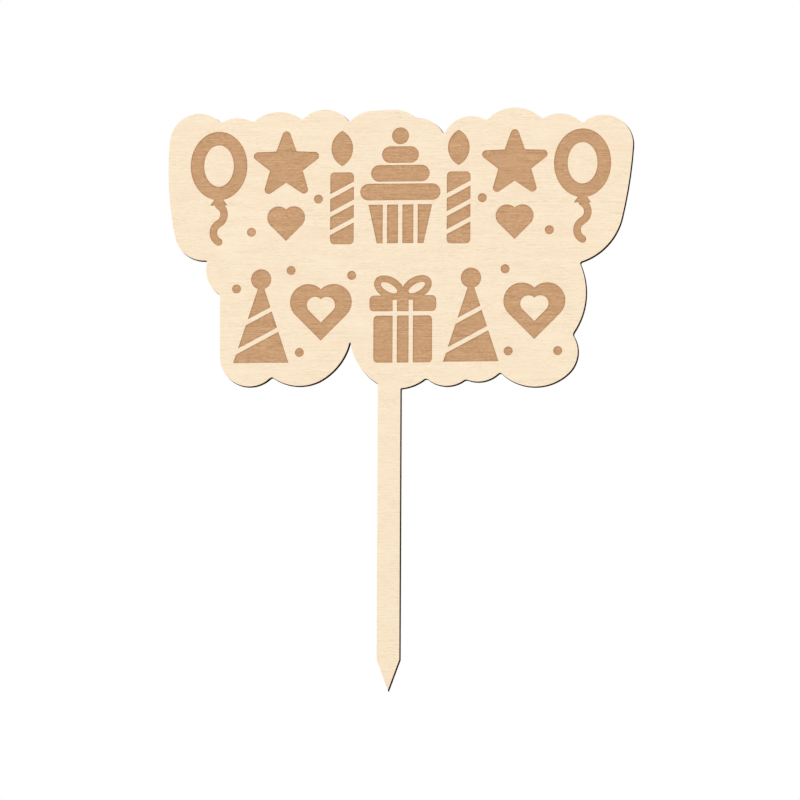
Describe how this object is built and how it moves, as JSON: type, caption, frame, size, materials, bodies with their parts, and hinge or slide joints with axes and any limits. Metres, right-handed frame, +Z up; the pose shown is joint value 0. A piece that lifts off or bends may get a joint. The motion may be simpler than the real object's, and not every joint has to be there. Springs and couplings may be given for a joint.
{
  "type": "cake topper",
  "caption": "Flat laser-cut plywood cake topper: a scalloped plaque with shallow engraved party motifs, on a pointed stake that is pushed into a cake.",
  "frame": {"origin": "the stake's tip, on the stake's centre line at mid-thickness of the board", "axes": "+Z up along the stake, +X to the right as seen from the front, engraved front face towards -Y"},
  "size_m": [0.1398, 0.003, 0.1745],
  "materials": {
    "face_basswood": "sanded, engraved areas scorched tan, cut edge charred dark brown",
    "core_basswood": "bare, cross-grained, cut edge charred dark brown",
    "back_basswood": "sanded, cut edge charred dark brown",
    "glue": "cured amber glue, charred at the cut edge"
  },
  "bodies": {
    "root": {"face_veneer": "face_basswood", "front_glue_line": "glue", "core_ply": "core_basswood", "rear_glue_line": "glue", "back_veneer": "back_basswood"}
  },
  "joints": []
}
